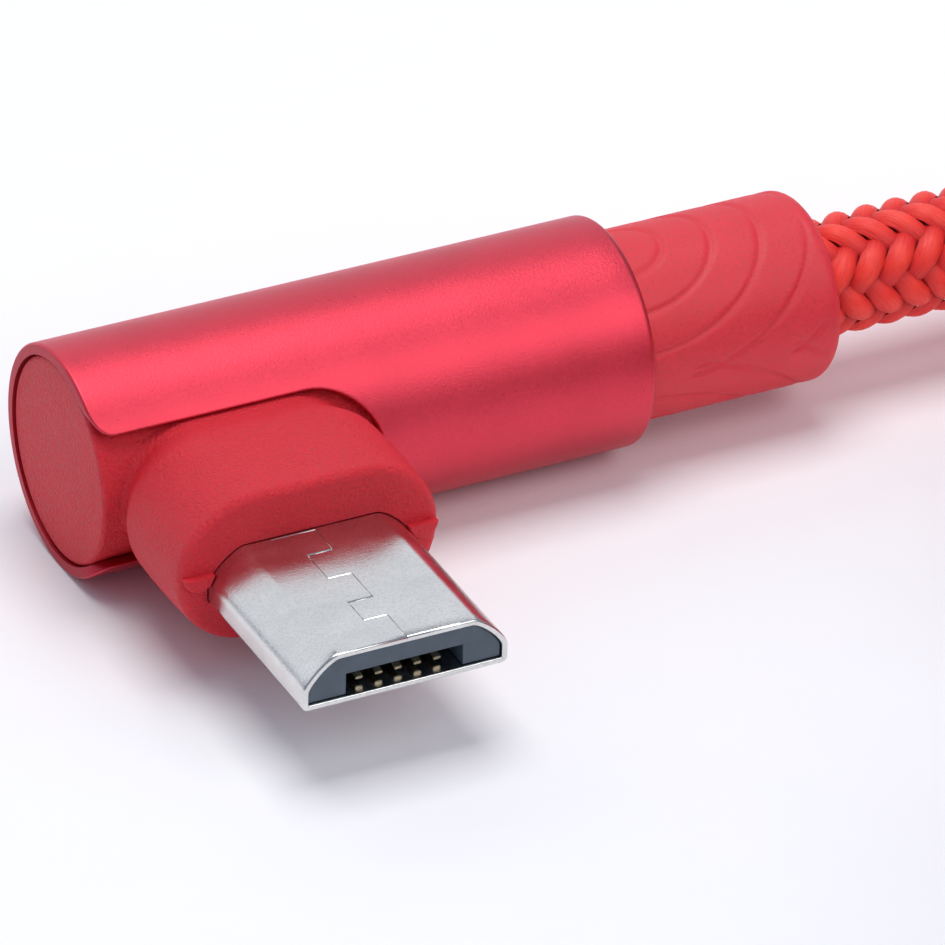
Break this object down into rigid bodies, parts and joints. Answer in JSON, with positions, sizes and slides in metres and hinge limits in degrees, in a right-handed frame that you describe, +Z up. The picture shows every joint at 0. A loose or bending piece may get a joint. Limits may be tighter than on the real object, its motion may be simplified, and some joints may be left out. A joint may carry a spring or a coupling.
{
  "type": "charging cable",
  "caption": "Braided charging cable with a right-angle micro-B plug in an aluminium sleeve, wound in a coil, and a straight USB-A plug.",
  "frame": {"origin": "middle of the right-angle head's footprint, on the surface the cable lies on", "axes": "+X along the head's sleeve, from its closed end towards the cord; the micro-B plug points to -Y; +Z up"},
  "size_m": [0.0845, 0.0618, 0.0154],
  "materials": {
    "anodised_red": "bead-blasted, anodised red, satin",
    "red_plastic": "matt moulded, fine spark-eroded texture",
    "red_relief": "matt moulded elastomer",
    "clear_plastic": "natural polyethylene",
    "plug_steel": "nickel-plated, fine drawn grain",
    "latch_steel": "plain spring steel",
    "dark_insulator": "glass-filled, satin",
    "white_insulator": "satin",
    "gold": "gold-flashed",
    "solder": "bright tin",
    "wire_red": "smooth",
    "wire_black": "smooth",
    "wire_white": "smooth",
    "wire_green": "smooth",
    "braid": "tight round braid of glossy nylon yarn",
    "strap": "hook-and-loop tape"
  },
  "bodies": {
    "root": {"sleeve": "anodised_red", "plug_mould": "red_plastic", "inner_mould": "clear_plastic", "micro_shell": "plug_steel", "micro_insulator": "dark_insulator", "contact_tails": "gold", "solder_joints": "solder", "wire_power": "wire_red", "wire_ground": "wire_black", "wire_data_minus": "wire_white", "wire_data_plus": "wire_green", "cable_end": "braid", "strain_relief": "red_relief", "cord_lead": "braid", "cord_coil": "braid", "cord_tail": "braid", "coil_tie": "strap", "usb_a_relief": "red_relief", "usb_a_cable_end": "braid", "usb_a_sleeve": "anodised_red", "usb_a_mould": "red_plastic", "usb_a_inner_mould": "clear_plastic", "usb_a_shell": "plug_steel", "usb_a_insulator": "white_insulator", "usb_a_contacts": "gold", "usb_a_solder": "solder", "usb_a_wire_power": "wire_red", "usb_a_wire_ground": "wire_black", "usb_a_wire_data_minus": "wire_white", "usb_a_wire_data_plus": "wire_green"},
    "left_latch": {"latch_left": "latch_steel"},
    "right_latch": {"latch_right": "latch_steel"},
    "spring_contacts": {"micro_contacts": "gold"}
  },
  "joints": [
    {"name": "left_latch_flex", "type": "hinge", "parent": "root", "child": "left_latch", "pos_m": [-0.01065, -0.00108, 0.0034], "axis": [-1, 0, 0], "range_deg": [0, 3.6], "stiffness_Nm_per_rad": 0.3},
    {"name": "right_latch_flex", "type": "hinge", "parent": "root", "child": "right_latch", "pos_m": [-0.00575, -0.00108, 0.0034], "axis": [-1, 0, 0], "range_deg": [0, 3.6], "stiffness_Nm_per_rad": 0.3},
    {"name": "contact_flex", "type": "hinge", "parent": "root", "child": "spring_contacts", "pos_m": [-0.0082, -0.00367, 0.00333], "axis": [1, 0, 0], "range_deg": [0, 1.2], "stiffness_Nm_per_rad": 0.4}
  ]
}
